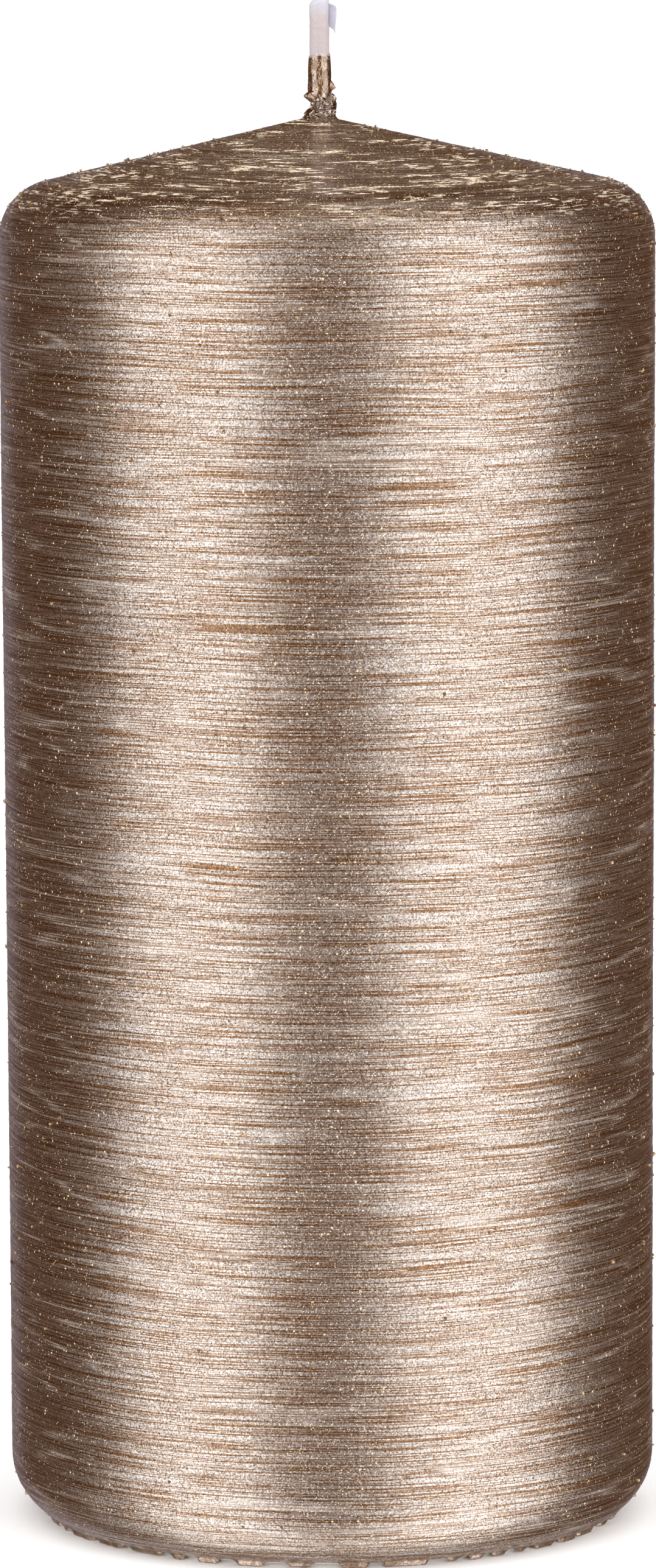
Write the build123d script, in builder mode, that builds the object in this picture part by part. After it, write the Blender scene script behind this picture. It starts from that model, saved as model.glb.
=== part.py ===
from build123d import *
from math import cos, radians, sin, tan
import os

# Metallic lacquered pillar candle. Millimetres, +Z up, origin at the centre of the base.

# Body
TOP_RADIUS = 34.85
BASE_RADIUS = 34.57
BODY_HEIGHT = 150.0
CONE_SLOPE = radians(12.9)
SHOULDER_RADIUS = 6.2
FOOT_RADIUS = 7.0
FOOT_TRIM = 0.3
DRAFT = (TOP_RADIUS - BASE_RADIUS) / BODY_HEIGHT

# Layers, from the outside in
LACQUER_THICKNESS = 0.2
OVERDIP_THICKNESS = 1.5
CORE_INSET = LACQUER_THICKNESS + OVERDIP_THICKNESS
CORE_BASE_Z = CORE_INSET - FOOT_TRIM

# Wick, which leaves the top a little off centre
WICK_X = -0.7
BRAID_RADIUS = 0.8
COAT_RADIUS = 1.08
WICK_TOP_Z = BODY_HEIGHT + 12.6
WICK_TIP_SLANT = 12
BRAID_END_Z = WICK_TOP_Z - 1.2
COAT_SEAT_Z = BODY_HEIGHT - 1.0

# Lacquer that ran up the wick
SLEEVE_RADIUS = 1.3
SLEEVE_TOP_RADIUS = 1.15
SLEEVE_BOTTOM_Z = BODY_HEIGHT + 2.4
SLEEVE_TAPER_Z = BODY_HEIGHT + 5.8
SLEEVE_TOP_Z = BODY_HEIGHT + 7.0
NUB_RADIUS = 0.5
NUB_REACH = 1.7
NUB_TAPER = 25
NUBS = {1: BODY_HEIGHT + 3.8, -1: BODY_HEIGHT + 3.1}

# Sustainer in the base
DISC_RADIUS = 10.0
DISC_THICKNESS = 0.3
NECK_RADIUS = 1.3
NECK_HEIGHT = 6.0
DISC_BOTTOM_Z = CORE_BASE_Z - DISC_THICKNESS
NECK_TOP_Z = CORE_BASE_Z + NECK_HEIGHT

# Beads of lacquer that hang from the dip edge and are flattened where the candle stands
DRIP_COUNT = 26
DRIP_TOP_Z = 2.0
DRIP_ROOT_RADIUS = 29.0
DRIP_TOP_RADIUS = 32.95
DRIP_FOOT_RADIUS = 31.8
DRIP_FOOT_SPREAD = 0.7
DRIP_SPAN = 6.4
DRIP_SPAN_SPREAD = 3.6

wick_plane = Plane((WICK_X, 0, 0))
wick_section = Plane((WICK_X, 0, 0), x_dir=(1, 0, 0), z_dir=(0, -1, 0))
wick_axis = Axis((WICK_X, 0, 0), (0, 0, 1))


def layer_outline(inset):
    """Corners of the half section whose sides lie at the given depth under the skin."""
    cone_z = BODY_HEIGHT - inset / cos(CONE_SLOPE)
    side_radius = BASE_RADIUS - inset
    base_z = inset - FOOT_TRIM
    shoulder_x = (side_radius + cone_z * DRAFT) / (1 + DRAFT * tan(CONE_SLOPE))
    shoulder_z = cone_z - shoulder_x * tan(CONE_SLOPE)
    foot_x = side_radius + base_z * DRAFT
    return [(0, cone_z), (shoulder_x, shoulder_z), (foot_x, base_z), (0, base_z)]


def layer_form(inset):
    """Solid of revolution bounded by the surface at the given depth under the skin."""
    with BuildPart() as form:
        with BuildSketch(Plane.XZ) as section:
            with BuildLine():
                Polyline(*layer_outline(inset), close=True)
            make_face()
            fillet(section.vertices().sort_by(Axis.X)[-1], SHOULDER_RADIUS - inset)
            fillet(section.vertices().group_by(Axis.Y)[0].sort_by(Axis.X)[-1], FOOT_RADIUS - inset)
        revolve(axis=Axis.Z)
    return form.part


skin_form = layer_form(0)
overdip_form = layer_form(LACQUER_THICKNESS)
core_form = layer_form(CORE_INSET)

# Pressed wax core: bored for the wick, counterbored for the sustainer's neck
with BuildPart() as wax_core:
    add(core_form)
    with BuildSketch(wick_plane):
        Circle(BRAID_RADIUS)
    extrude(amount=BODY_HEIGHT, mode=Mode.SUBTRACT)
    with BuildSketch(wick_plane):
        Circle(NECK_RADIUS)
    extrude(amount=NECK_TOP_Z, mode=Mode.SUBTRACT)

# Hard wax overdip: levelled flat at the base, open at the sustainer's disc and at the wick
with BuildPart() as overdip_shell:
    add(overdip_form)
    add(core_form, mode=Mode.SUBTRACT)
    split(bisect_by=Plane.XY, keep=Keep.TOP)
    with BuildSketch(wick_plane):
        Circle(DISC_RADIUS)
    extrude(amount=CORE_BASE_Z, mode=Mode.SUBTRACT)
    with BuildSketch(wick_plane.offset(COAT_SEAT_Z - OVERDIP_THICKNESS)):
        Circle(BRAID_RADIUS)
    extrude(amount=OVERDIP_THICKNESS, mode=Mode.SUBTRACT)
    with BuildSketch(wick_plane.offset(COAT_SEAT_Z)):
        Circle(COAT_RADIUS)
    extrude(amount=OVERDIP_THICKNESS, mode=Mode.SUBTRACT)

# Metallic lacquer skin: open at the base and round the wick
with BuildPart() as lacquer_coat:
    add(skin_form)
    add(overdip_form, mode=Mode.SUBTRACT)
    split(bisect_by=Plane.XY, keep=Keep.TOP)
    with BuildSketch(wick_plane.offset(COAT_SEAT_Z)):
        Circle(COAT_RADIUS)
    extrude(amount=OVERDIP_THICKNESS, mode=Mode.SUBTRACT)

# Lacquer beads round the foot: each is a short ring segment against the skin's foot radius
with BuildPart() as rim_drips:
    for index in range(DRIP_COUNT):
        wave = index * 360 / DRIP_COUNT
        span = DRIP_SPAN + DRIP_SPAN_SPREAD * sin(radians(5 * wave + 40)) * cos(radians(2 * wave))
        start = wave + 2 * sin(radians(3 * wave)) - span / 2
        foot_radius = DRIP_FOOT_RADIUS + DRIP_FOOT_SPREAD * sin(radians(7 * wave))
        with BuildSketch(Plane.XZ.rotated((0, 0, start))):
            with BuildLine():
                Polyline(
                    (DRIP_ROOT_RADIUS, 0),
                    (foot_radius, 0),
                    (DRIP_TOP_RADIUS, DRIP_TOP_Z),
                    (DRIP_ROOT_RADIUS, DRIP_TOP_Z),
                    close=True,
                )
            make_face()
        revolve(axis=Axis.Z, revolution_arc=span)
    add(skin_form, mode=Mode.SUBTRACT)

# Plaited cotton wick, from the sustainer's disc to just under the tip of its wax coat
with BuildPart() as wick_braid:
    with BuildSketch(wick_plane.offset(DISC_BOTTOM_Z)):
        Circle(BRAID_RADIUS)
    extrude(amount=BRAID_END_Z - DISC_BOTTOM_Z)

# White wax on the exposed wick, with a slanted, rounded tip
with BuildPart() as wick_wax_coat:
    with BuildSketch(wick_plane.offset(COAT_SEAT_Z)):
        Circle(COAT_RADIUS)
    extrude(amount=WICK_TOP_Z - COAT_SEAT_Z + COAT_RADIUS)
    with BuildSketch(wick_plane.offset(COAT_SEAT_Z)):
        Circle(BRAID_RADIUS)
    extrude(amount=BRAID_END_Z - COAT_SEAT_Z, mode=Mode.SUBTRACT)
    tip_z = WICK_TOP_Z - COAT_RADIUS * tan(radians(WICK_TIP_SLANT))
    split(bisect_by=Plane((WICK_X, 0, tip_z)).rotated((0, -WICK_TIP_SLANT, 0)), keep=Keep.BOTTOM)
    fillet(wick_wax_coat.edges().sort_by(Axis.Z)[-1], COAT_RADIUS / 5)

# Film of wax that peels off the right side of the tip and droops to a point
with BuildPart() as wick_wax_flap:
    with BuildSketch(wick_section):
        with BuildLine():
            Line((0.8, WICK_TOP_Z - 1.4), (0.8, WICK_TOP_Z - 0.5))
            Line((0.8, WICK_TOP_Z - 0.5), (1.4, WICK_TOP_Z - 0.55))
            RadiusArc((1.4, WICK_TOP_Z - 0.55), (1.45, WICK_TOP_Z - 3.3), 3.0)
            Line((1.45, WICK_TOP_Z - 3.3), (1.3, WICK_TOP_Z - 1.6))
            Line((1.3, WICK_TOP_Z - 1.6), (0.8, WICK_TOP_Z - 1.4))
        make_face()
    extrude(amount=0.12, both=True)
    with BuildSketch(wick_plane.offset(COAT_SEAT_Z)):
        Circle(COAT_RADIUS)
    extrude(amount=WICK_TOP_Z - COAT_SEAT_Z, mode=Mode.SUBTRACT)

# Lacquer sleeve on the lower half of the exposed wick, thinning to its upper edge
with BuildPart() as wick_lacquer_sleeve:
    with BuildSketch(wick_section):
        with BuildLine():
            Polyline(
                (COAT_RADIUS, SLEEVE_BOTTOM_Z),
                (SLEEVE_RADIUS, SLEEVE_BOTTOM_Z),
                (SLEEVE_RADIUS, SLEEVE_TAPER_Z),
                (SLEEVE_TOP_RADIUS, SLEEVE_TOP_Z),
                (COAT_RADIUS, SLEEVE_TOP_Z),
                close=True,
            )
        make_face()
    revolve(axis=wick_axis)

# Pointed nubs of lacquer, one each side of the sleeve
with BuildPart() as wick_lacquer_nubs:
    for side, height in NUBS.items():
        with BuildSketch(Plane((WICK_X + side * BRAID_RADIUS, 0, height), z_dir=(side, 0, 0))):
            Circle(NUB_RADIUS)
        extrude(amount=NUB_REACH - BRAID_RADIUS, taper=NUB_TAPER)
    with BuildSketch(wick_plane.offset(SLEEVE_BOTTOM_Z)):
        Circle(SLEEVE_RADIUS)
    extrude(amount=SLEEVE_TAPER_Z - SLEEVE_BOTTOM_Z, mode=Mode.SUBTRACT)

# Grainy lacquer fillet at the wick's foot: a lump below the sleeve, then a flare onto the cone
with BuildPart() as lacquer_collar:
    with BuildSketch(wick_section):
        with BuildLine():
            Line((COAT_RADIUS, BODY_HEIGHT - 2), (COAT_RADIUS, SLEEVE_BOTTOM_Z))
            Line((COAT_RADIUS, SLEEVE_BOTTOM_Z), (SLEEVE_RADIUS, SLEEVE_BOTTOM_Z))
            RadiusArc((SLEEVE_RADIUS, SLEEVE_BOTTOM_Z), (1.4, BODY_HEIGHT + 1.0), 0.9)
            ThreePointArc((1.4, BODY_HEIGHT + 1.0), (2.3, BODY_HEIGHT - 0.3), (5.0, BODY_HEIGHT - 1.6))
            Line((5.0, BODY_HEIGHT - 1.6), (5.0, BODY_HEIGHT - 2))
            Line((5.0, BODY_HEIGHT - 2), (COAT_RADIUS, BODY_HEIGHT - 2))
        make_face()
    revolve(axis=wick_axis)
    add(skin_form, mode=Mode.SUBTRACT)

# Pressed metal sustainer: a disc in the base and a neck crimped round the wick
with BuildPart() as wick_sustainer:
    with BuildSketch(wick_plane.offset(DISC_BOTTOM_Z)):
        Circle(DISC_RADIUS)
    extrude(amount=DISC_THICKNESS)
    with BuildSketch(wick_plane.offset(DISC_BOTTOM_Z)):
        Circle(NECK_RADIUS)
    extrude(amount=DISC_THICKNESS + NECK_HEIGHT)
    with BuildSketch(wick_plane.offset(DISC_BOTTOM_Z)):
        Circle(BRAID_RADIUS)
    extrude(amount=DISC_THICKNESS + NECK_HEIGHT, mode=Mode.SUBTRACT)

sub_parts = {
    "wax_core": wax_core,
    "overdip_shell": overdip_shell,
    "lacquer_coat": lacquer_coat,
    "rim_drips": rim_drips,
    "wick_braid": wick_braid,
    "wick_wax_coat": wick_wax_coat,
    "wick_wax_flap": wick_wax_flap,
    "wick_lacquer_sleeve": wick_lacquer_sleeve,
    "wick_lacquer_nubs": wick_lacquer_nubs,
    "lacquer_collar": lacquer_collar,
    "wick_sustainer": wick_sustainer,
}

os.makedirs("parts", exist_ok=True)
for name, builder in sub_parts.items():
    builder.part.label = name
    export_step(builder.part, f"parts/{name}.step")
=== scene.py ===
"""Looks of a pillar candle with a brushed metallic lacquer skin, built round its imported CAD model."""

import math

import bpy
import numpy as np
from mathutils import Matrix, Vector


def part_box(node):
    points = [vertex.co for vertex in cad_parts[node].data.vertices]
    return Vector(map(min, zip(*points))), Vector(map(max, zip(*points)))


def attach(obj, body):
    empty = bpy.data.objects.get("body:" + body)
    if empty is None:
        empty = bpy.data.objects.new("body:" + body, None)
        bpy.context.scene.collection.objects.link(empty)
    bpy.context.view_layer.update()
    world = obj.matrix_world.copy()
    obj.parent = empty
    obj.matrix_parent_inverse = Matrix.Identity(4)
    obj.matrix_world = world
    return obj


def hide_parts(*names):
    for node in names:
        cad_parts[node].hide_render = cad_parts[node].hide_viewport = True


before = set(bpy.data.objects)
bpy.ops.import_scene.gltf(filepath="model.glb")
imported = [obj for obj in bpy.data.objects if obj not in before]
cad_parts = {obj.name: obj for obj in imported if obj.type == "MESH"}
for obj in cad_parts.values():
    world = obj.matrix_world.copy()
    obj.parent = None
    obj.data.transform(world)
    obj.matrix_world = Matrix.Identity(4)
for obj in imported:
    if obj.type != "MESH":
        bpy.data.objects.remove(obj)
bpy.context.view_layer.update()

MM = 0.001
SEED = 7

# ---------------------------------------------------------------------------------------------
# Places and sizes, read from the frame
# ---------------------------------------------------------------------------------------------
skin_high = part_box("lacquer_coat")[1]
coat_low, coat_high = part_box("wick_wax_coat")
sleeve_low, sleeve_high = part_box("wick_lacquer_sleeve")
nubs_low, nubs_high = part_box("wick_lacquer_nubs")
flap_low, flap_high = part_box("wick_wax_flap")
collar_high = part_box("lacquer_collar")[1]
braid_low, braid_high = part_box("wick_braid")

WICK_X = (coat_low.x + coat_high.x) / 2
COAT_RADIUS = (coat_high.x - coat_low.x) / 2
SLEEVE_RADIUS = (sleeve_high.x - sleeve_low.x) / 2
BRAID_RADIUS = (braid_high.x - braid_low.x) / 2

# The skin's section repeats the CAD's slopes and radii
CONE_SLOPE = math.radians(12.9)
SHOULDER_RADIUS = 6.2 * MM
FOOT_RADIUS = 7.0 * MM
FOOT_TRIM = 0.3 * MM
DRAFT = 0.28 / 150
SKIN_THICKNESS = 0.2 * MM
APEX_Z = skin_high.z + (COAT_RADIUS + WICK_X) * math.tan(CONE_SLOPE)

# The side's line, carried up to the apex's height, is this much wider than the rounded shoulder
SHOULDER_SHORTFALL = 0.012 * MM
TOP_RADIUS = skin_high.x + SHOULDER_SHORTFALL
BASE_RADIUS = TOP_RADIUS - DRAFT * APEX_Z


# ---------------------------------------------------------------------------------------------
# Meshes
# ---------------------------------------------------------------------------------------------
def fade(t):
    """0 up to t = 0, 1 from t = 1, smooth between."""
    t = np.clip(t, 0.0, 1.0)
    return t * t * (3 - 2 * t)


def ramp(value, start, end):
    """0 before start, 1 after end, smooth between."""
    return fade((value - start) / (end - start))


def lattice_noise(turn, along, cells, pitch, rng):
    """Smooth noise from -1 to 1 with that many values round the turn and one for each pitch along."""
    first = np.floor(along.min() / pitch)
    v = along / pitch - first
    row = np.floor(v).astype(int)
    count = row.max() + 2
    table = rng.uniform(-1, 1, (count, cells))
    shift = rng.uniform(0, cells, count)

    def row_value(index):
        u = turn * cells + shift[index]
        column = np.floor(u).astype(int)
        near = table[index, column % cells]
        far = table[index, (column + 1) % cells]
        return near + (far - near) * fade(u - column)

    low, high = row_value(row), row_value(row + 1)
    return low + (high - low) * fade(v - row)


def tube(rings, closed=False, capped=False):
    """Points and faces of a tube through rings of points. Closed joins the last ring to the first."""
    count, columns = rings.shape[:2]
    points = rings.reshape(-1, 3)
    index = np.arange(count * columns).reshape(count, columns)
    if closed:
        index = np.vstack([index, index[:1]])
    right = np.roll(index, -1, axis=1)
    faces = [np.stack([index[:-1], index[1:], right[1:], right[:-1]], axis=-1).reshape(-1, 4)]
    if capped:
        first, last = len(points), len(points) + 1
        points = np.vstack([points, rings[0].mean(0), rings[-1].mean(0)])
        faces.append(np.stack([index[0], right[0], np.full(columns, first)], axis=-1))
        faces.append(np.stack([right[-1], index[-1], np.full(columns, last)], axis=-1))
    return points, faces


def joined(solids):
    """Points and faces of several solids as one set."""
    points, faces, start = [], [], 0
    for solid_points, solid_faces in solids:
        points.append(solid_points)
        faces += [face + start for face in solid_faces]
        start += len(solid_points)
    return np.vstack(points), faces


def make_mesh(name, solid, values=None):
    """Object with that mesh, shaded smooth. Named values go on its first points, and the rest get 0."""
    points, faces = solid
    corners = np.concatenate([face.ravel() for face in faces])
    sizes = np.concatenate([np.full(len(face), face.shape[1]) for face in faces])
    mesh = bpy.data.meshes.new(name)
    mesh.vertices.add(len(points))
    mesh.vertices.foreach_set("co", points.astype(np.float32).ravel())
    mesh.loops.add(len(corners))
    mesh.loops.foreach_set("vertex_index", corners.astype(np.int32))
    mesh.polygons.add(len(sizes))
    mesh.polygons.foreach_set("loop_start", (np.cumsum(sizes) - sizes).astype(np.int32))
    mesh.polygons.foreach_set("use_smooth", np.ones(len(sizes), bool))
    mesh.update(calc_edges=True)
    for key, value in (values or {}).items():
        attribute = mesh.attributes.new(key, "FLOAT", "POINT")
        full = np.zeros(len(points), np.float32)
        full[: value.size] = value.ravel()
        attribute.data.foreach_set("value", full)
    made = bpy.data.objects.new(name, mesh)
    bpy.context.scene.collection.objects.link(made)
    return made


def finish_piece(piece, material, slot, *nodes):
    """Give the piece its material and body, and hide the CAD nodes that it replaces. The slot is not used."""
    piece.data.materials.append(material)
    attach(piece, "root")
    if nodes:
        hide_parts(*nodes)


def turns(columns):
    """Positions round the turn from 0 to 1, anticlockwise seen from above, starting at +X."""
    return np.arange(columns) / columns


def round_points(turn, radius, height, centre_x=0.0):
    """Points at those turns, radii and heights, about a vertical axis at centre_x."""
    turn, radius, height, centre_x = np.broadcast_arrays(turn, radius, height, centre_x)
    angle = 2 * np.pi * turn
    return np.stack([centre_x + radius * np.cos(angle), radius * np.sin(angle), height], axis=-1)


# ---------------------------------------------------------------------------------------------
# The skin's section
# ---------------------------------------------------------------------------------------------
def skin_section(along):
    """Radius, height and outward normal at each distance along the section, and where its four runs end."""
    draft = math.atan(DRAFT)
    shoulder_turn = math.pi / 2 - CONE_SLOPE + draft
    shoulder_x = (BASE_RADIUS + APEX_Z * DRAFT) / (1 + DRAFT * math.tan(CONE_SLOPE))
    shoulder_z = APEX_Z - shoulder_x * math.tan(CONE_SLOPE)
    reach = SHOULDER_RADIUS * math.tan(shoulder_turn / 2)
    cone_end_x = shoulder_x - reach * math.cos(CONE_SLOPE)
    cone_end_z = shoulder_z + reach * math.sin(CONE_SLOPE)
    foot_turn = math.acos((FOOT_RADIUS - FOOT_TRIM) / FOOT_RADIUS)
    side_top_z = shoulder_z - reach * math.cos(draft)
    side_low_z = FOOT_RADIUS - FOOT_TRIM
    # The four runs are the cone, the shoulder, the side and the foot
    lengths = [
        (cone_end_x - COAT_RADIUS) / math.cos(CONE_SLOPE),
        SHOULDER_RADIUS * shoulder_turn,
        (side_top_z - side_low_z) / math.cos(draft),
        FOOT_RADIUS * (math.pi / 2 - foot_turn),
    ]
    ends = np.cumsum(lengths)
    cone = (
        COAT_RADIUS + along * math.cos(CONE_SLOPE),
        APEX_Z - COAT_RADIUS * math.tan(CONE_SLOPE) - along * math.sin(CONE_SLOPE),
        np.full_like(along, math.pi / 2 - CONE_SLOPE),
    )
    bend = math.pi / 2 - CONE_SLOPE - (along - ends[0]) / SHOULDER_RADIUS
    arc_x = cone_end_x - SHOULDER_RADIUS * math.sin(CONE_SLOPE)
    arc_z = cone_end_z - SHOULDER_RADIUS * math.cos(CONE_SLOPE)
    shoulder = (arc_x + SHOULDER_RADIUS * np.cos(bend), arc_z + SHOULDER_RADIUS * np.sin(bend), bend)
    down = along - ends[1]
    side_x = shoulder_x - (shoulder_z - side_top_z) * DRAFT
    side = (side_x - down * math.sin(draft), side_top_z - down * math.cos(draft), np.full_like(along, -draft))
    under = -(along - ends[2]) / FOOT_RADIUS
    foot_x = side_x - lengths[2] * math.sin(draft) - FOOT_RADIUS
    foot = (foot_x + FOOT_RADIUS * np.cos(under), side_low_z + FOOT_RADIUS * np.sin(under), under)
    part = np.searchsorted(ends, along).clip(0, 3)
    radius, height, slope = (np.choose(part, values) for values in zip(cone, shoulder, side, foot))
    return radius, height, np.cos(slope), np.sin(slope), ends


SHOULDER_END, SKIN_LENGTH = skin_section(np.zeros(1))[4][[1, 3]]

# The dipped lacquer ends this far along the skin from the flat base
BARE_FOOT = 1.6 * MM
DIP_EDGE = SKIN_LENGTH - BARE_FOOT


# ---------------------------------------------------------------------------------------------
# Materials
# ---------------------------------------------------------------------------------------------
class Tree:
    """One material's nodes, with short calls for the ones that repeat."""

    def __init__(self, name):
        self.material = bpy.data.materials.new(name)
        self.material.use_nodes = True
        self.nodes = self.material.node_tree.nodes
        self.links = self.material.node_tree.links
        self.shader = self.nodes["Principled BSDF"]

    def put(self, socket, value):
        if isinstance(value, bpy.types.NodeSocket):
            self.links.new(value, socket)
        else:
            socket.default_value = value

    def node(self, kind, inputs=(), **settings):
        made = self.nodes.new("ShaderNode" + kind)
        for key, value in settings.items():
            setattr(made, key, value)
        for key, value in dict(inputs).items():
            self.put(made.inputs[key], value)
        return made

    def math(self, operation, *values):
        return self.node("Math", enumerate(values), operation=operation).outputs[0]

    def vector(self, operation, *values):
        return self.node("VectorMath", enumerate(values), operation=operation).outputs[0]

    def scaled(self, vector, amount):
        return self.node("VectorMath", {"Vector": vector, "Scale": amount}, operation="SCALE").outputs[0]

    def weighted(self, *terms):
        """Sum of values, each given with its weight."""
        parts = [self.math("MULTIPLY", value, weight) for value, weight in terms]
        total = parts[0]
        for part in parts[1:]:
            total = self.math("ADD", total, part)
        return total

    def position(self):
        return self.node("TexCoord").outputs["Object"]

    def height(self):
        return self.node("SeparateXYZ", {"Vector": self.position()}).outputs["Z"]

    def attribute(self, name):
        return self.node("Attribute", attribute_name=name).outputs["Fac"]

    def noise(self, vector, scale, detail=2.0, roughness=0.5):
        inputs = {"Vector": vector, "Scale": scale, "Detail": detail, "Roughness": roughness}
        return self.node("TexNoise", inputs).outputs["Fac"]

    def mottle(self, size, detail=2.0, roughness=0.5):
        """Noise in patches of about that size."""
        return self.noise(self.position(), 1 / size, detail, roughness)

    def cells(self, size):
        """Distance from the middle of cells of about that size, and a random colour for each."""
        return self.node("TexVoronoi", {"Vector": self.position(), "Scale": 1 / size}).outputs

    def lot(self, cells, channel):
        """One random number for each cell."""
        return self.node("SeparateColor", {"Color": cells["Color"]}).outputs[channel]

    def span(self, value, low, high, out_low=0.0, out_high=1.0):
        inputs = dict(enumerate((value, low, high, out_low, out_high)))
        return self.node("MapRange", inputs, interpolation_type="SMOOTHSTEP").outputs[0]

    def mix(self, amount, first, second, blend="MIX"):
        made = self.nodes.new("ShaderNodeMix")
        made.data_type = "RGBA"
        made.blend_type = blend
        for socket, value in zip((made.inputs[0], made.inputs[6], made.inputs[7]), (amount, first, second)):
            self.put(socket, value)
        return made.outputs[2]

    def tint(self, colour, mask, strength, toward):
        """Colour mixed towards another, by that strength where the mask is 1."""
        return self.mix(self.math("MULTIPLY", mask, strength), colour, toward)

    def bump(self, height, distance, strength=1.0, normal=None):
        inputs = {"Height": height, "Distance": distance, "Strength": strength}
        if normal is not None:
            inputs["Normal"] = normal
        return self.node("Bump", inputs).outputs[0]

    def set(self, **inputs):
        """Set the shader's inputs, with _ for a space in their names, and give the material."""
        for key, value in inputs.items():
            self.put(self.shader.inputs[key.replace("_", " ")], value)
        return self.material


def rgb(red, green, blue):
    return (red, green, blue, 1.0)


class Brush:
    """Brush strokes that run level round the side, the cone and the foot, as places for noise."""

    INWARD_SPREAD = 0.35
    SWAY = 0.8 * MM
    SWAY_SCALE = 45.0

    def __init__(self, tree):
        self.tree = tree
        split = tree.node("SeparateXYZ", {"Vector": tree.position()}).outputs
        self.x, self.y = split["X"], split["Y"]
        flat = tree.node("CombineXYZ", {"X": self.x, "Y": self.y}).outputs[0]
        radius = tree.node("VectorMath", {"Vector": flat}, operation="LENGTH").outputs["Value"]
        inward = tree.math("SUBTRACT", BASE_RADIUS, radius)
        upper = tree.math("SIGN", tree.math("SUBTRACT", split["Z"], APEX_Z / 2))
        spread = tree.math("MULTIPLY", inward, tree.math("MULTIPLY", upper, self.INWARD_SPREAD))
        level = tree.math("ADD", split["Z"], spread)
        sway = tree.math("SUBTRACT", tree.noise(tree.position(), self.SWAY_SCALE, 1.0), 0.5)
        self.level = tree.math("ADD", level, tree.math("MULTIPLY", sway, self.SWAY))

    def noise(self, around, across, detail=1.0):
        """Noise in strokes of about that length round the candle and that width across."""
        sizes = ((self.x, around), (self.y, around), (self.level, across))
        parts = [self.tree.math("MULTIPLY", part, 1 / size) for part, size in sizes]
        place = self.tree.node("CombineXYZ", dict(zip("XYZ", parts))).outputs[0]
        return self.tree.noise(place, 1.0, detail)


def flake_normal(tree, size, tilt, share, normal):
    """Normal on which that share of small flat flakes is tipped at random."""
    cells = tree.cells(size)
    random = tree.vector("SUBTRACT", cells["Color"], (0.5, 0.5, 0.5))
    amount = tree.span(tree.lot(cells, "Green"), 1 - share, 1 - share * 0.6, tilt * 0.2, tilt)
    return tree.vector("NORMALIZE", tree.vector("ADD", normal, tree.scaled(random, amount)))


def grained(tree, colour, size, low, high):
    """Colour multiplied by a fine grain that runs from the low tint to the high one."""
    grain = tree.mottle(size, 2.0, 0.8)
    return tree.mix(1.0, colour, tree.mix(tree.span(grain, 0.36, 0.64), low, high), "MULTIPLY")


def specks(tree, size, share):
    """1 on small round specks. That share of the cells of that size holds one each."""
    cells = tree.cells(size)
    chosen = tree.math("LESS_THAN", tree.lot(cells, "Blue"), share)
    return tree.math("MULTIPLY", chosen, tree.span(cells["Distance"], 0.22, 0.42, 1.0, 0.0))


def contour(tree, value, width):
    """1 on thin lines where the noise passes through its middle."""
    return tree.span(tree.math("ABSOLUTE", tree.math("SUBTRACT", value, 0.5)), 0.0, width, 1.0, 0.0)


# Brush marks on the lacquer: length round the candle, and width across
LINES = (16 * MM, 0.12 * MM)
BANDS = (24 * MM, 0.34 * MM)
HAIRS = (5 * MM, 0.065 * MM)
THREADS = (30 * MM, 0.5 * MM)
CRACKS = (26 * MM, 0.6 * MM)
DASHES = (2.0 * MM, 0.23 * MM)
DASH_GROUPS = (8 * MM, 0.9 * MM)

# The dashes of painted glint start on the shoulder and are full on the cone
DASHES_START = APEX_Z - 11.8 * MM
DASHES_FULL = APEX_Z - 5.6 * MM


def brushed_colour(tree, brush, tone, ridge, valley):
    """Bronze between the strokes and champagne on them, with a fine grain, pale threads and dark cracks,
    painted highlight on the relief's ridges and painted shade in its grooves.
    """
    bronze, champagne = rgb(0.40, 0.225, 0.105), rgb(0.93, 0.88, 0.82)
    colour = tree.mix(tree.span(tone, 0.44, 0.54), bronze, champagne)
    colour = grained(tree, colour, 0.20 * MM, rgb(0.42, 0.32, 0.235), rgb(1.27, 1.27, 1.27))
    colour = tree.tint(colour, contour(tree, brush.noise(*THREADS), 0.016), 0.55, rgb(1.0, 0.90, 0.80))
    colour = tree.tint(colour, contour(tree, brush.noise(*CRACKS), 0.010), 0.45, rgb(0.17, 0.09, 0.045))
    # Painted highlight on the relief's ridges and painted shade down in its grooves
    colour = tree.tint(colour, ridge, 0.25, rgb(0.96, 0.88, 0.79))
    return tree.tint(colour, valley, 0.30, rgb(0.16, 0.09, 0.045))


def painted_glint_marks(tree, brush):
    """1 on the dashes of painted glint on the cone and shoulder, and 1 on the gold specks all over the skin,
    which are partly painted glint.
    """
    upper = tree.span(tree.height(), DASHES_START, DASHES_FULL)
    glint_dash = tree.span(brush.noise(*DASHES, 4.0), 0.53, 0.57)
    group = tree.span(brush.noise(*DASH_GROUPS), 0.48, 0.54)
    glint_dash = tree.math("MULTIPLY", tree.math("MULTIPLY", glint_dash, group), upper)
    cluster = tree.span(tree.mottle(3.5 * MM, 3.0), 0.44, 0.62, 0.02, 0.10)
    fine_share = tree.math("ADD", cluster, tree.math("MULTIPLY", upper, 0.10))
    coarse_share = tree.math("MULTIPLY", cluster, tree.span(upper, 0.0, 1.0, 0.35, 1.0))
    speck = tree.math("MAXIMUM", specks(tree, 0.18 * MM, fine_share), specks(tree, 0.34 * MM, coarse_share))
    return glint_dash, speck


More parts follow.
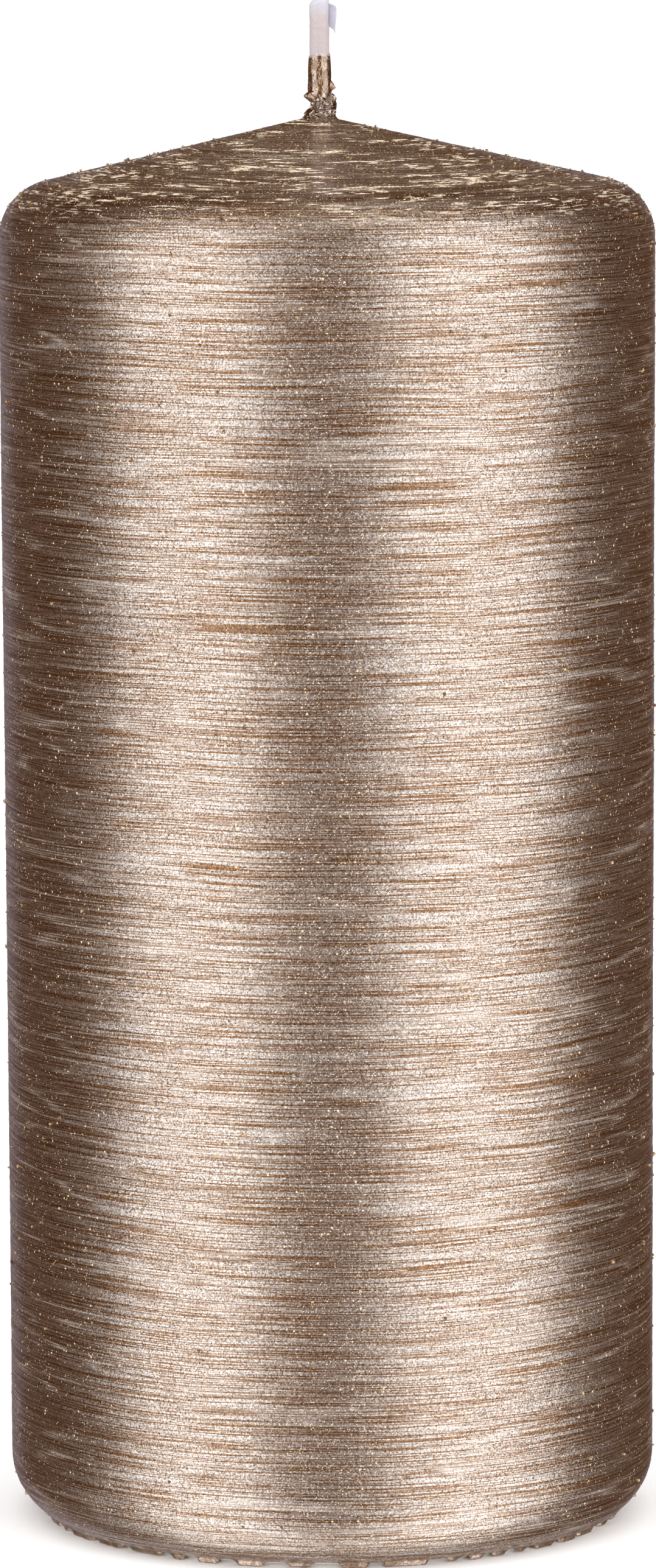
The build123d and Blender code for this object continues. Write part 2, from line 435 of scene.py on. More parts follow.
def lacquer_material():
    """Champagne-bronze flake lacquer with fine brush lines under a thin clear film, with painted glints,
    painted highlight and painted shade in its colour.
    """
    tree = Tree("metallic_lacquer")
    brush = Brush(tree)
    ridge, valley = tree.attribute("ridge"), tree.attribute("valley")
    hairs = brush.noise(*HAIRS)
    tone = tree.weighted((brush.noise(*LINES), 0.64), (hairs, 0.32), (brush.noise(*BANDS), 0.04))
    glint_dash, speck = painted_glint_marks(tree, brush)
    glint_core = tree.span(tree.mottle(0.28 * MM, 3.0, 0.7), 0.42, 0.56)
    colour = brushed_colour(tree, brush, tone, ridge, valley)
    # Gold specks, partly real flake colour and partly painted glint, then dashes of painted glint with bright
    # cores
    colour = tree.mix(speck, colour, rgb(0.74, 0.54, 0.33))
    colour = tree.mix(glint_dash, colour, tree.mix(glint_core, rgb(0.42, 0.28, 0.15), rgb(1.0, 0.87, 0.68)))
    marks = tree.math("MULTIPLY", tree.math("MAXIMUM", glint_dash, speck), 0.95)
    crest = tree.math("MULTIPLY", ridge, tree.span(tone, 0.46, 0.56, 0.03, 0.15))
    metallic = tree.math("SUBTRACT", 1.0, tree.math("MAXIMUM", marks, crest))
    normal = flake_normal(tree, 0.09 * MM, 0.8, 0.15, tree.bump(tone, 0.04 * MM, 1.0))
    roughness = tree.span(hairs, 0.3, 0.7, 0.42, 0.32)
    return tree.set(Base_Color=colour, Metallic=metallic, Roughness=roughness, Normal=normal,
                    Coat_Weight=0.45, Coat_Roughness=0.2)


def crumb_material():
    """Specks of dried lacquer, brown to golden."""
    tree = Tree("lacquer_crumbs")
    patch = tree.mottle(0.35 * MM, 1.0)
    colour = tree.mix(tree.span(patch, 0.38, 0.62), rgb(0.28, 0.16, 0.08), rgb(0.62, 0.46, 0.29))
    metallic = tree.span(patch, 0.35, 0.65, 0.9, 0.4)
    roughness = tree.span(patch, 0.3, 0.7, 0.45, 0.28)
    normal = tree.bump(patch, 0.05 * MM, 1.0)
    return tree.set(Base_Color=colour, Metallic=metallic, Roughness=roughness, Normal=normal)


def pooled_material():
    """Lacquer gathered in beads: smooth, without brush lines, and darker and greyer than the skin as painted
    shade.
    """
    tree = Tree("pooled_lacquer")
    mottle = tree.mottle(1.3 * MM)
    # Darker, greyer tones than the skin's are painted shade on the beads at the foot
    colour = tree.mix(tree.span(mottle, 0.35, 0.65), rgb(0.34, 0.235, 0.15), rgb(0.64, 0.52, 0.41))
    colour = grained(tree, colour, 0.24 * MM, rgb(0.66, 0.58, 0.52), rgb(1.12, 1.12, 1.18))
    normal = flake_normal(tree, 0.10 * MM, 0.7, 0.2, tree.bump(mottle, 0.05 * MM, 1.0))
    roughness = tree.span(mottle, 0.3, 0.7, 0.44, 0.30)
    return tree.set(Base_Color=colour, Metallic=0.85, Roughness=roughness, Normal=normal,
                    Coat_Weight=0.4, Coat_Roughness=0.15)


# Wax on the wick: low down, at the tip, and in the film that peels off it
WAX_LOW = rgb(0.41, 0.345, 0.34)
WAX_HIGH = rgb(0.44, 0.42, 0.46)
WAX_FILM_LOW = rgb(0.43, 0.42, 0.50)
WAX_FILM_HIGH = rgb(0.38, 0.375, 0.45)


def wick_lacquer_material():
    """Glossy bronze lacquer in fine upright runs, grainy on the collar, and bare wax where it is thin, with
    painted shade in the collar's pits and painted highlight on its grain tops.
    """
    tree = Tree("wick_lacquer")
    thin, pit_shade, crown_highlight = (tree.attribute(name) for name in ("thin", "pit_shade", "crown_highlight"))
    place = tree.vector("MULTIPLY", tree.position(), (1 / (0.5 * MM), 1 / (0.5 * MM), 1 / (0.9 * MM)))
    runs = tree.noise(place, 1.0, 2.0)
    speckle = tree.mottle(0.14 * MM, 2.0, 0.7)
    colour = tree.mix(tree.span(runs, 0.36, 0.64), rgb(0.34, 0.20, 0.10), rgb(0.66, 0.50, 0.35))
    colour = grained(tree, colour, 0.16 * MM, rgb(0.60, 0.50, 0.40), rgb(1.25, 1.25, 1.28))
    # Painted shade in the pits between the collar's grains, and painted highlight on the grain tops
    colour = tree.tint(colour, pit_shade, 0.85, rgb(0.07, 0.035, 0.018))
    colour = tree.tint(colour, crown_highlight, 0.85, rgb(0.94, 0.76, 0.63))
    frayed = tree.math("MULTIPLY", tree.math("SUBTRACT", speckle, 0.5), 0.9)
    bare = tree.span(tree.math("ADD", thin, frayed), 0.25, 0.75)
    colour = tree.mix(bare, colour, WAX_LOW)
    glint = tree.math("MULTIPLY", tree.span(speckle, 0.57, 0.63), 0.35)
    pale = tree.math("MAXIMUM", glint, tree.math("MULTIPLY", crown_highlight, 0.65))
    metallic = tree.math("SUBTRACT", 1.0, tree.math("MAXIMUM", bare, pale))
    normal = tree.bump(speckle, 0.03 * MM, 0.5, tree.bump(runs, 0.22 * MM, 1.0))
    normal = flake_normal(tree, 0.13 * MM, 0.5, 0.3, normal)
    roughness = tree.span(runs, 0.3, 0.7, 0.30, 0.17)
    return tree.set(Base_Color=colour, Metallic=metallic, Roughness=roughness, Normal=normal,
                    Coat_Weight=1.0, Coat_IOR=2.1, Coat_Roughness=0.10)


def wick_wax_material(name, low_colour, high_colour):
    """White wax on cotton, from one colour low down to the other at the tip, with a faint weave."""
    tree = Tree(name)
    cloud = tree.mottle(0.8 * MM)
    clouding = tree.math("MULTIPLY", tree.math("SUBTRACT", cloud, 0.5), 1.2 * MM)
    height = tree.math("ADD", tree.height(), clouding)
    change_start, change_end = coat_high.z - 2.6 * MM, coat_high.z - 0.7 * MM
    colour = tree.mix(tree.span(height, change_start, change_end), low_colour, high_colour)
    weave = tree.noise(tree.vector("MULTIPLY", tree.position(), (4000.0, 4000.0, 9000.0)), 1.0, 1.0)
    colour = tree.mix(tree.span(weave, 0.35, 0.65, 0.0, 0.16), colour, rgb(0.56, 0.53, 0.56))
    normal = tree.bump(weave, 0.03 * MM, 0.6)
    roughness = tree.span(cloud, 0.3, 0.7, 0.50, 0.34)
    return tree.set(Base_Color=colour, Roughness=roughness, Normal=normal, Subsurface_Weight=0.15,
                    Subsurface_Scale=0.3 * MM, Subsurface_Radius=(1.0, 0.8, 0.7), IOR=1.44)


def wax_material(name, pale, deep, crystal_size):
    """Pale candle wax, clouded by its crystals, with a faintly pitted surface."""
    tree = Tree(name)
    cloud = tree.mottle(6 * MM, 3.0)
    crystals = tree.cells(crystal_size)["Distance"]
    pits = tree.mottle(0.5 * MM, 3.0, 0.7)
    colour = tree.mix(tree.span(cloud, 0.32, 0.68), deep, pale)
    colour = tree.mix(tree.span(crystals, 0.2, 0.8, 0.0, 0.25), colour, rgb(0.97, 0.95, 0.90))
    normal = tree.bump(pits, 0.08 * MM, 0.7)
    roughness = tree.span(pits, 0.3, 0.7, 0.38, 0.58)
    return tree.set(Base_Color=colour, Roughness=roughness, Normal=normal, Subsurface_Weight=0.3,
                    Subsurface_Scale=1.5 * MM, Subsurface_Radius=(1.0, 0.8, 0.6), IOR=1.44)


def cotton_material():
    """Bleached cotton yarn with long fibres."""
    tree = Tree("cotton")
    place = tree.vector("MULTIPLY", tree.position(), (9000.0, 9000.0, 1600.0))
    fibres = tree.noise(place, 1.0, 3.0, 0.7)
    colour = tree.mix(tree.span(fibres, 0.3, 0.7), rgb(0.62, 0.57, 0.48), rgb(0.88, 0.86, 0.80))
    roughness = tree.span(fibres, 0.3, 0.7, 0.95, 0.8)
    return tree.set(Base_Color=colour, Roughness=roughness, Normal=tree.bump(fibres, 0.05 * MM, 1.0))


def tin_material():
    """Tinplate with a rolled grain and dull crystals."""
    tree = Tree("tinned_steel")
    place = tree.vector("MULTIPLY", tree.position(), (400.0, 9000.0, 400.0))
    rolled = tree.noise(place, 1.0, 3.0)
    crystals = tree.lot(tree.cells(1.6 * MM), "Red")
    colour = tree.mix(tree.span(crystals, 0.0, 1.0), rgb(0.52, 0.52, 0.53), rgb(0.70, 0.70, 0.69))
    colour = tree.mix(tree.span(rolled, 0.35, 0.7, 0.0, 0.4), colour, rgb(0.40, 0.39, 0.38))
    dulling = tree.math("MULTIPLY", crystals, 0.1)
    roughness = tree.math("ADD", tree.span(rolled, 0.3, 0.7, 0.24, 0.36), dulling)
    normal = tree.bump(rolled, 0.02 * MM, 1.0)
    return tree.set(Base_Color=colour, Metallic=1.0, Roughness=roughness, Normal=normal)


def set_material(node, material):
    """Give a CAD node that stays a better material."""
    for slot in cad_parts[node].material_slots:
        slot.material = material


# ---------------------------------------------------------------------------------------------
# The lacquer skin
# ---------------------------------------------------------------------------------------------
ROW_PITCH = 0.15 * MM
SKIN_COLUMNS = 270
INNER_ROWS = 24


def skin_relief(turn, along, rng):
    """Height of the brushed relief, and how far each point is on a ridge or in a groove."""
    # The drift lets the strokes wander a little from level
    drift = 0.22 * MM * lattice_noise(turn, along, 7, 11 * MM, rng)
    drift += 0.08 * MM * lattice_noise(turn, along, 15, 4 * MM, rng)
    line = along + drift
    swell = lattice_noise(turn, along, 6, 24 * MM, rng)
    broad = lattice_noise(turn, line, 9, 2.1 * MM, rng)
    fine = lattice_noise(turn, line, 26, 0.36 * MM, rng)
    scratch = lattice_noise(turn, line, 21, 0.30 * MM, rng)
    valley = ramp(scratch, 0.55, 0.95) * ramp(lattice_noise(turn, line, 12, 3.0 * MM, rng), -0.3, 0.6)
    crest = np.abs(lattice_noise(turn, line, 14, 0.95 * MM, rng))
    ridge = ramp(1 - crest, 0.78, 1.0) * ramp(lattice_noise(turn, line, 24, 2.5 * MM, rng), -0.6, 0.5)
    grain = lattice_noise(turn, along, 260, 0.7 * MM, rng)
    millimetres = 0.04 * swell + 0.010 * broad + 0.018 * fine + 0.016 * ridge - 0.018 * valley + 0.006 * grain
    return millimetres * MM, ridge, valley


def skin_axis(radius):
    """X of the skin's centre: at the wick for the innermost ring, at the origin for the side."""
    return WICK_X * (1 - ramp(radius, COAT_RADIUS, BASE_RADIUS))


def skin_place(turn, along, raised):
    """Points of the skin at those turns and distances along its section, raised outward."""
    radius, height, out, up = skin_section(along)[:4]
    return round_points(turn, radius + raised * out, height + raised * up, skin_axis(radius))


def lacquer_skin(material):
    """The brushed skin from the wick's hole to the dip edge, with its inner face against the wax."""
    rng = np.random.default_rng(SEED)
    turn, along = np.meshgrid(turns(SKIN_COLUMNS), np.arange(0, DIP_EDGE, ROW_PITCH))
    relief, ridge, valley = skin_relief(turn, along, rng)
    outer = skin_place(turn, along, relief)
    turn, along = np.meshgrid(turns(SKIN_COLUMNS), np.linspace(along[-1, 0], 0, INNER_ROWS))
    inner = skin_place(turn, along, -SKIN_THICKNESS)
    solid = tube(np.vstack([outer, inner]), closed=True)
    # The ridge and valley values also carry the lacquer's painted highlight and painted shade
    piece = make_mesh("lacquer_skin", solid, {"ridge": ridge, "valley": valley})
    finish_piece(piece, material, "metallic_lacquer", "lacquer_coat")


def sphere_solid(rows, columns):
    """Ball of radius 1 as a tube with closed ends."""
    tip = np.linspace(0, np.pi, rows + 2)[1:-1, None]
    return tube(round_points(turns(columns), np.sin(tip), -np.cos(tip))[:, ::-1], capped=True)


def crumbs(material):
    """Dried specks of lacquer stuck to the skin, thickest on the cone and the shoulder."""
    rng = np.random.default_rng(SEED + 1)
    points, faces = sphere_solid(6, 8)
    count, cone_share, sunk = 2300, 0.36, 0.35
    on_cone = SHOULDER_END * np.sqrt(rng.random(count))
    on_side = SHOULDER_END + (DIP_EDGE - SHOULDER_END) * rng.random(count) ** 1.2
    along = np.where(rng.random(count) < cone_share, on_cone, on_side)
    size = MM * (0.06 + 0.12 * rng.random(count) ** 3)
    place = skin_place(rng.random(count), along, size * sunk)
    solids = []
    for centre, radius in zip(place, size):
        stretch = radius * rng.uniform(0.7, 1.35, 3)
        lumpy = points * (1 + 0.22 * rng.standard_normal(len(points))[:, None])
        solids.append((centre + lumpy * stretch, faces))
    piece = make_mesh("lacquer_crumbs", joined(solids))
    finish_piece(piece, material, "metallic_lacquer")


# ---------------------------------------------------------------------------------------------
# The ragged edge at the foot
# ---------------------------------------------------------------------------------------------
EDGE_COLUMNS = 1800


def tab_pattern(columns, rng):
    """How far down the dip edge reaches round the foot: 1 on tabs that touch the table, less in the gaps."""
    reach = np.zeros(columns)
    place = np.arange(columns) / columns * 2 * np.pi * BASE_RADIUS
    start = 0.0
    while start < place[-1] - 3 * MM:
        width = MM * rng.uniform(1.5, 6.5)
        # Each flank of a tab is steep, slanting or gentle
        slopes = MM * np.array([rng.choice([0.08, 0.5, 1.2]), rng.choice([0.3, 0.7, 1.4])])
        inside = np.minimum((place - start) / slopes[0], (start + width - place) / slopes[1])
        reach = np.maximum(reach, fade(inside) * rng.uniform(0.72, 1.25))
        start += width + MM * rng.uniform(0.2, 2.4)
    return np.minimum(reach, 1.0)


def foot_radius(height):
    """Radius of the skin at that height on the foot's rounding."""
    return BASE_RADIUS - FOOT_RADIUS + np.sqrt(FOOT_RADIUS ** 2 - (FOOT_RADIUS - FOOT_TRIM - height) ** 2)


def foot_edge(material):
    """Beads and tabs of lacquer that hang from the dip edge. The longest stand flat on the table."""
    rng = np.random.default_rng(SEED + 2)
    rows, overlap = 9, 1.1 * MM
    reach = tab_pattern(EDGE_COLUMNS, rng)
    turn = np.broadcast_to(turns(EDGE_COLUMNS), (rows, EDGE_COLUMNS))
    down = np.linspace(0, 1, rows)[:, None]
    wobble = lattice_noise(turn, 0 * turn, 150, MM, rng)
    start_z, edge_z = skin_section(np.array([DIP_EDGE - overlap, DIP_EDGE]))[1]
    ragged = np.clip(reach + 0.10 * wobble * (reach > 0.05), 0, 1)
    low_z = edge_z * (1 - ragged) * (0.9 + 0.1 * wobble)
    height = start_z + (low_z - start_z) * down
    # Below the dip edge the gaps lean in to the wax, and the tabs hang nearly straight down
    droop = np.maximum(edge_z - height, 0) * (0.9 - 0.65 * reach)
    bulge = MM * (0.05 * ramp(down, 0.0, 0.3) + (0.02 + 0.10 * reach) * np.sin(np.pi * down))
    radius = np.maximum(foot_radius(height), foot_radius(edge_z) - droop) + bulge * (1 + 0.35 * wobble)
    outer = round_points(turn, radius, height)
    inward = height[::-1][::2]
    inner = round_points(turn[::2], foot_radius(inward) - SKIN_THICKNESS, inward)
    piece = make_mesh("foot_beads", tube(np.vstack([outer, inner]), closed=True))
    finish_piece(piece, material, "pooled_lacquer", "rim_drips")


# ---------------------------------------------------------------------------------------------
# The wick
# ---------------------------------------------------------------------------------------------
def wick_tip(material):
    """White wax on the wick, with a slanting rounded end that is higher on the right."""
    rng = np.random.default_rng(SEED + 3)
    columns, straight_rows, round_rows = 72, 90, 12
    round_from, round_span = 0.955, 0.0452
    length = coat_high.z - coat_low.z
    straight = np.linspace(0, round_from, straight_rows)
    rounding = round_from + (1 - round_from) * np.sin(np.linspace(0.05, np.pi / 2, round_rows))
    rise = np.concatenate([straight, rounding])[:, None]
    height = rise * length
    shrink = np.sqrt(np.clip(1 - (np.clip(rise - round_from, 0, 1) / round_span) ** 2, 0, 1))
    turn = turns(columns)[None]
    rightward = np.cos(2 * np.pi * turn)
    lumps = lattice_noise(turn + 0 * rise, height, 7, 0.9 * MM, rng)
    body = COAT_RADIUS - 0.04 * MM + 0.03 * MM * lumps
    radius = body * (0.25 + 0.75 * shrink) * np.where(shrink < 0.02, 0.4, 1)
    slant = ramp(rise, 0.8, 1.0) * (0.27 * MM * (radius / COAT_RADIUS) * rightward - 0.20 * MM)
    # Below the sleeve, inside the collar, the wax is thinner. A fine ridge rings it under the tip
    below = 1 - ramp(coat_low.z + height, sleeve_low.z + 0.6 * MM, sleeve_low.z + 1.6 * MM)
    ridge = 0.03 * MM * np.exp(-((height - (length - 3.2 * MM)) / (0.10 * MM)) ** 2)
    rings = round_points(turn, radius - 0.28 * MM * below + ridge, coat_low.z + height + slant, WICK_X)
    piece = make_mesh("wick_wax_tip", tube(rings[:, ::-1], capped=True))
    finish_piece(piece, material, "wick_wax", "wick_wax_coat")


def wax_flap(material):
    """Film of wax that has peeled from the right of the tip and droops to a point."""
    rows, columns = 60, 28
    drop = np.linspace(0, 1, rows)[:, None]
    angle = 2 * np.pi * turns(columns)[None]
    across = np.cos(angle)
    side = WICK_X + COAT_RADIUS
    root = side + MM * (-0.12 + 0.02 * ramp(drop, 0.0, 0.2) + 0.55 * ramp(drop, 0.84, 1.0))
    rounding = np.sqrt(1 - np.clip(1 - drop / 0.16, 0, 1) ** 2)
    narrowing = 0.14 * ramp(drop, 0.35, 0.85) + 0.10 * ramp(drop, 0.93, 1.0)
    edge = side + MM * (0.16 + 0.60 * rounding - narrowing)
    thick = (0.16 - 0.05 * drop) * np.sqrt(np.clip(drop / 0.05, 0.05, 1)) * MM
    x = (root + edge) / 2 + np.maximum(edge - root, 0.08 * MM) / 2 * across
    outward = (x - side) / (0.6 * MM)
    y = thick * np.sin(angle) - MM * (0.30 * outward ** 2 - 0.07 * np.sin(drop * 8) * outward)
    top, bottom = flap_high.z - 0.33 * MM, flap_low.z - 0.55 * MM
    tilt = MM * across * (0.10 * (1 - drop) + 0.20 * drop ** 2)
    z = top + (bottom - top) * drop - tilt
    piece = make_mesh("wick_wax_film", tube(np.stack([x, y, z], axis=-1), capped=True))
    finish_piece(piece, material, "wick_wax", "wick_wax_flap")


def lacquer_sleeve(material):
    """Lacquer run up the wick, with a nearly level upper edge and slanting folds that fade upward."""
    rng = np.random.default_rng(SEED + 4)
    rows, columns, inner_step, clearance = 110, 120, 10, 0.012 * MM
    turn, climb = np.meshgrid(turns(columns), np.linspace(0, 1, rows))
    bottom, top = sleeve_low.z - 0.4 * MM, sleeve_high.z
    waves = 0.12 * np.cos(2 * np.pi * turn) + 0.10 * lattice_noise(turn, climb, 9, 9.0, rng)
    height = bottom + (top + MM * (waves - 0.30) - bottom) * climb
    slanted = turn - 0.16 * climb
    folds = lattice_noise(slanted, height, 7, 1.3 * MM, rng)
    folds += 0.5 * lattice_noise(slanted, height, 15, 0.8 * MM, rng)
    thickness = (SLEEVE_RADIUS - COAT_RADIUS) * (1 - climb ** 3) * (0.80 + 0.27 * folds * (1 - climb ** 2))
    radius = COAT_RADIUS + clearance + np.maximum(thickness, 0) - 0.14 * MM * ramp(climb, 0.90, 1.0)
    outer = round_points(turn, radius, height, WICK_X)
    inner_turn, inner_height = turn[::inner_step][::-1], height[::inner_step][::-1]
    inner = round_points(inner_turn, COAT_RADIUS - 0.20 * MM, inner_height, WICK_X)
    thin = {"thin": ramp(climb, 0.80, 1.0)[::-1]}
    piece = make_mesh("lacquer_sleeve", tube(np.vstack([outer[::-1], inner[::-1]]), closed=True), thin)
    finish_piece(piece, material, "wick_lacquer", "wick_lacquer_sleeve")


def blob(start, toward, length, width, tall, point, rng):
    """Lump that stands out from start in that direction, blunt for point 0.5 and sharp for point 1."""
    rows, columns = 22, 28
    reach = np.linspace(0, 1, rows + 1)[:-1, None]
    toward = np.array(toward) / np.linalg.norm(toward)
    side = np.cross((0, 0, 1), toward)
    side = side / np.linalg.norm(side)
    upward = np.cross(toward, side)
    angle = 2 * np.pi * turns(columns)[None]
    rough = 1 + 0.12 * lattice_noise(turns(columns)[None] + 0 * reach, reach, 8, 0.3, rng)
    girth = ((1 - reach ** 1.3) ** point * rough)[..., None]
    ring = np.cos(angle)[..., None] * side * width + np.sin(angle)[..., None] * upward * tall
    return tube(np.array(start) + reach[..., None] * toward * length + ring * girth, capped=True)


def lacquer_nubs(material):
    """Pointed nub on the right of the sleeve, and blunter lump on its left."""
    rng = np.random.default_rng(SEED + 5)
    right_start = (WICK_X + 0.7 * MM, -0.1 * MM, nubs_high.z - 0.95 * MM)
    right_length = nubs_high.x - WICK_X - 0.62 * MM
    right = blob(right_start, (1, -0.1, -0.25), right_length, 0.60 * MM, 0.95 * MM, 1.0, rng)
    left_start = (WICK_X - 0.5 * MM, -0.2 * MM, nubs_low.z - 0.85 * MM)
    left_length = WICK_X - nubs_low.x - 0.45 * MM
    left = blob(left_start, (-1, -0.2, 0.04), left_length, 1.0 * MM, 0.85 * MM, 0.9, rng)
    piece = make_mesh("lacquer_nubs", joined([right, left]))
    finish_piece(piece, material, "wick_lacquer", "wick_lacquer_nubs")


def collar_profile(fall):
    """Radius and height down the collar: an upright grainy neck, then a hollow fillet onto the cone."""
    neck_share = 0.42
    neck_radius = 1.28 * MM
    neck_top, neck_low = collar_high.z + 0.35 * MM, collar_high.z - 1.35 * MM
    rim_radius = collar_high.x - WICK_X - 0.05 * MM
    rim_z = APEX_Z - rim_radius * math.tan(CONE_SLOPE) - 0.05 * MM
    corner_z = APEX_Z - neck_radius * math.tan(CONE_SLOPE)
    drop = np.clip(fall / neck_share, 0, 1)
    bend = np.clip((fall - neck_share) / (1 - neck_share), 0, 1)
    radius = neck_radius * (1 - bend) ** 2 + 2 * bend * (1 - bend) * neck_radius + bend ** 2 * rim_radius
    height = neck_low * (1 - bend) ** 2 + 2 * bend * (1 - bend) * corner_z + bend ** 2 * rim_z
    radius = radius - 0.22 * MM * ramp(1 - drop, 0.5, 1.0)
    return radius, height + (neck_top - neck_low) * (1 - drop)


def lacquer_collar(material):
    """Grainy neck and fillet of lacquer that flares from the wick into the cone, with a lump on the left."""
    rng = np.random.default_rng(SEED + 6)
    rows, columns, inner_step = 150, 190, 10
    turn, fall = np.meshgrid(turns(columns), np.linspace(0, 1, rows))
    radius, height = collar_profile(fall)
    grains = np.maximum(lattice_noise(turn, fall, 46, 0.050, rng), 0) ** 0.7
    grains += 0.5 * np.maximum(lattice_noise(turn, fall, 90, 0.026, rng), 0)
    calm = 1 - ramp(fall, 0.72, 0.98)
    lump = np.exp(-((2 * np.pi * turn - 3.5) / 0.80) ** 4 - ((fall - 0.590) / 0.085) ** 6)
    waist = lattice_noise(turn, fall, 5, 0.25, rng)
    radius = radius + MM * (0.17 * grains * calm * (1 - 0.6 * lump) + 0.40 * lump + 0.06 * waist * calm)
    shift = 0.40 * MM * ramp(fall, 0.05, 0.25) * (1 - ramp(fall, 0.45, 0.8))
    outer = round_points(turn, radius, height, WICK_X + shift)
    inner_turn = turn[::inner_step][::-1]
    inner_height = np.linspace(APEX_Z - 1.2 * MM, collar_high.z + 0.3 * MM, len(inner_turn))[:, None]
    inner = round_points(inner_turn, COAT_RADIUS - 0.1 * MM, inner_height, WICK_X)
    # Painted shade in the hollows between the grains, and painted highlight on their tops
    marks = {"pit_shade": (1 - ramp(grains, 0.0, 0.6)) * calm, "crown_highlight": ramp(grains, 0.50, 0.85)}
    piece = make_mesh("collar", tube(np.vstack([outer, inner]), closed=True), marks)
    finish_piece(piece, material, "wick_lacquer", "lacquer_collar")


def wick_plait(material):
    """Three cotton strands plaited along the whole wick."""
    strand_count, strand_radius, columns = 3, 0.34 * MM, 9
    pitch, row_pitch = 5.5 * MM, 0.35 * MM
    swing = BRAID_RADIUS - strand_radius
    height = np.linspace(braid_low.z, braid_high.z, int((braid_high.z - braid_low.z) / row_pitch))
    ring = round_points(turns(columns), strand_radius, 0.0)
    strands = []
    for number in range(strand_count):
        phase = 2 * np.pi * (height / pitch + number / strand_count)
        centre = np.stack([WICK_X + swing * np.sin(phase), 0.55 * swing * np.sin(2 * phase), height], axis=-1)
        strands.append(tube((centre[:, None] + ring)[:, ::-1], capped=True))
    piece = make_mesh("wick_plait", joined(strands))
    finish_piece(piece, material, "cotton", "wick_braid")


# ---------------------------------------------------------------------------------------------
# Stage: floor, light and camera
# ---------------------------------------------------------------------------------------------
FLOOR_RADIUS = 12.0
DAYLIGHT = (0.97, 1.0, 1.05)


def make_floor():
    """Pale floor round the candle, open under its flat base so that the underside can be seen from below."""
    circle = round_points(turns(96), 1.0, 0.0)[None]
    hole_radius = skin_section(np.array([SKIN_LENGTH]))[0][0] - 1.5 * MM
    floor = make_mesh("floor", tube(np.concatenate([circle * hole_radius, circle * FLOOR_RADIUS])))
    tree = Tree("pale_floor")
    tint = tree.noise(tree.position(), 6.0, 2.0)
    colour = tree.mix(tint, rgb(0.86, 0.86, 0.86), rgb(0.90, 0.90, 0.90))
    floor.data.materials.append(tree.set(Base_Color=colour, Roughness=0.9))
    floor.visible_glossy = False
    floor.visible_shadow = False


def softbox(name, azimuth, distance, size, centre_z, radiance, colour=DAYLIGHT, down=0):
    """Flat light facing the candle, tipped down by that angle. Azimuth 0 is in front, 90 towards +X."""
    light = bpy.data.lights.new(name, "AREA")
    light.shape = "RECTANGLE"
    width, height = size
    light.size, light.size_y = width, height
    light.energy = radiance * math.pi * width * height
    light.color = colour
    lamp = bpy.data.objects.new(name, light)
    bpy.context.scene.collection.objects.link(lamp)
    angle = math.radians(azimuth)
    lamp.location = (distance * math.sin(angle), -distance * math.cos(angle), centre_z)
    lamp.rotation_euler = (math.pi / 2 - math.radians(down), 0, angle)
    lamp.visible_camera = False


def make_room():
    """White surroundings for the camera and for diffuse light, and a dark warm room in reflections."""
    world = bpy.data.worlds.new("studio")
    world.use_nodes = True
    world.cycles.sampling_method = "NONE"
    nodes, links = world.node_tree.nodes, world.node_tree.links
    room = nodes["Background"]
    room.inputs["Color"].default_value = rgb(0.105, 0.052, 0.026)
    white = nodes.new("ShaderNodeBackground")
    white.inputs["Color"].default_value = rgb(1.0, 1.0, 1.0)
    white.inputs["Strength"].default_value = 1.4
    path = nodes.new("ShaderNodeLightPath")
    mix = nodes.new("ShaderNodeMixShader")
    links.new(path.outputs["Is Glossy Ray"], mix.inputs[0])
    links.new(white.outputs[0], mix.inputs[1])
    links.new(room.outputs[0], mix.inputs[2])
    links.new(mix.outputs[0], nodes["World Output"].inputs["Surface"])
    bpy.context.scene.world = world


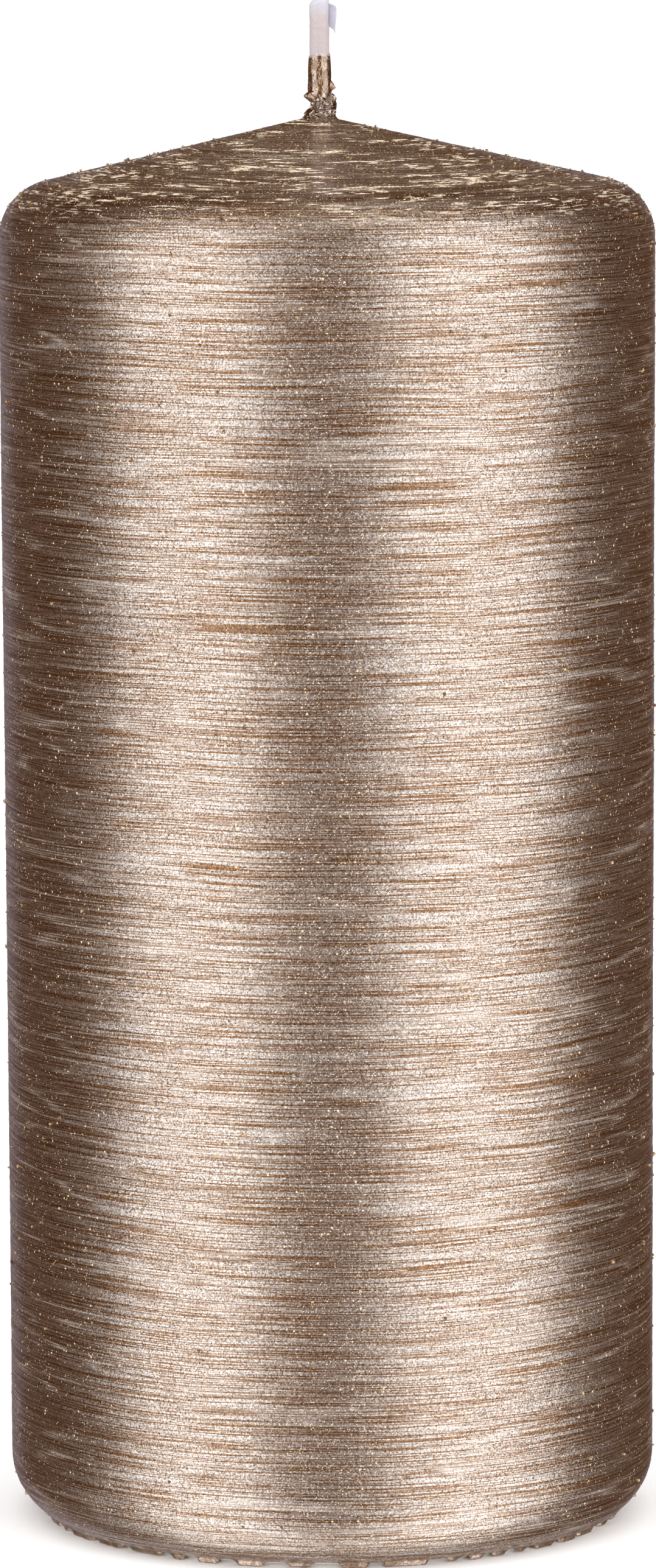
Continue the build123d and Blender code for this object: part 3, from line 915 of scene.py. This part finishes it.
def make_lights():
    """Tall softboxes on both sides of the camera, lights under the table, and weak ones all round."""
    # Name, azimuth, distance, width and height, height of the middle, radiance and colour
    softbox("left_softbox", -49, 1.0, (1.0, 2.9), 0.05, 1.33)
    softbox("right_softbox", 52.5, 1.0, (1.22, 2.9), 0.05, 1.36)
    softbox("left_table", -50, 0.65, (0.8, 1.2), -1.0, 1.0, down=-90)
    softbox("right_table", 50, 0.65, (0.8, 1.2), -1.0, 1.0, down=-90)
    softbox("table_glow", 180, 0.85, (1.0, 0.7), -0.98, 0.32, down=-50)
    softbox("overhead", 0, 0.15, (1.2, 0.9), 1.2, 0.40, (1.0, 0.93, 0.83), down=82)
    softbox("cone_sheen", 178, 1.0, (0.7, 0.4), 0.8, 0.14, (1.0, 0.85, 0.7), down=33)
    softbox("warm_front", 0, 1.5, (0.5, 2.3), -0.25, 0.05, (1.0, 0.66, 0.42))
    softbox("rear_panel", -172, 1.4, (1.3, 1.6), -0.45, 0.17, (0.82, 0.88, 1.2))


CAMERA_DISTANCE = 0.8238
CAMERA_HEIGHT = 0.18006
CAMERA_SIDE = -0.000139
CAMERA_PITCH = math.radians(7.02)
CAMERA_ROLL = math.radians(-0.259)
CAMERA_LENS = 178.1


def make_camera():
    """Camera in front of the candle, a little higher than its tip and looking slightly down."""
    data = bpy.data.cameras.new("camera")
    data.sensor_width = 36.0
    data.lens = CAMERA_LENS
    data.clip_start, data.clip_end = 0.01, 100.0
    camera = bpy.data.objects.new("camera", data)
    bpy.context.scene.collection.objects.link(camera)
    tilt = Matrix.Rotation(math.pi / 2 - CAMERA_PITCH, 4, "X") @ Matrix.Rotation(CAMERA_ROLL, 4, "Z")
    camera.matrix_world = Matrix.Translation((CAMERA_SIDE, -CAMERA_DISTANCE, CAMERA_HEIGHT)) @ tilt
    bpy.context.scene.camera = camera


make_camera()
make_lights()
make_room()
make_floor()
lacquer = lacquer_material()
lacquer_skin(lacquer)
crumbs(crumb_material())
foot_edge(pooled_material())
wick_lacquer = wick_lacquer_material()
lacquer_sleeve(wick_lacquer)
lacquer_nubs(wick_lacquer)
lacquer_collar(wick_lacquer)
wick_tip(wick_wax_material("wick_wax", WAX_LOW, WAX_HIGH))
wax_flap(wick_wax_material("wick_wax_film", WAX_FILM_LOW, WAX_FILM_HIGH))
wick_plait(cotton_material())
core_wax = wax_material("core_wax", rgb(0.90, 0.88, 0.82), rgb(0.80, 0.77, 0.70), 1.4 * MM)
overdip_wax = wax_material("overdip_wax", rgb(0.88, 0.84, 0.76), rgb(0.76, 0.70, 0.60), 0.7 * MM)
set_material("wax_core", core_wax)
set_material("overdip_shell", overdip_wax)
set_material("wick_sustainer", tin_material())
bpy.context.scene.view_settings.view_transform = "Standard"
